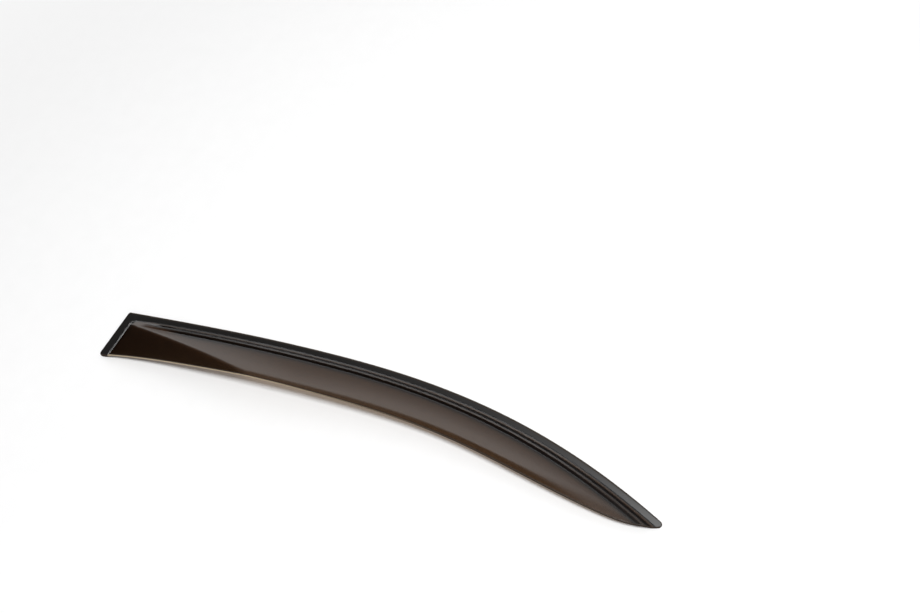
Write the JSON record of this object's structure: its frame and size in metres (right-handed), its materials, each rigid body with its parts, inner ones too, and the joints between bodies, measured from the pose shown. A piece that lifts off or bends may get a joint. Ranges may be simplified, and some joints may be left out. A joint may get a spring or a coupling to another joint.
{
  "type": "window rain deflector",
  "caption": "Arched smoked plastic visor with a stepped taping flange, a hipped square end and a rounded tip, stuck along a car's side window frame to keep rain out of the gap.",
  "frame": {"origin": "centre of the bounding box in plan, at the underside of the tape that meets the car", "axes": "+X from the square end to the tip, +Y towards the arched top edge, +Z away from the car"},
  "size_m": [0.6194, 0.1038, 0.0299],
  "materials": {
    "smoked_acrylic": "polished smoked brown sheet, see-through",
    "foam_tape": "matte closed-cell foam"
  },
  "bodies": {
    "root": {"visor": "smoked_acrylic", "top_tape": "foam_tape", "end_tape": "foam_tape"}
  },
  "joints": []
}
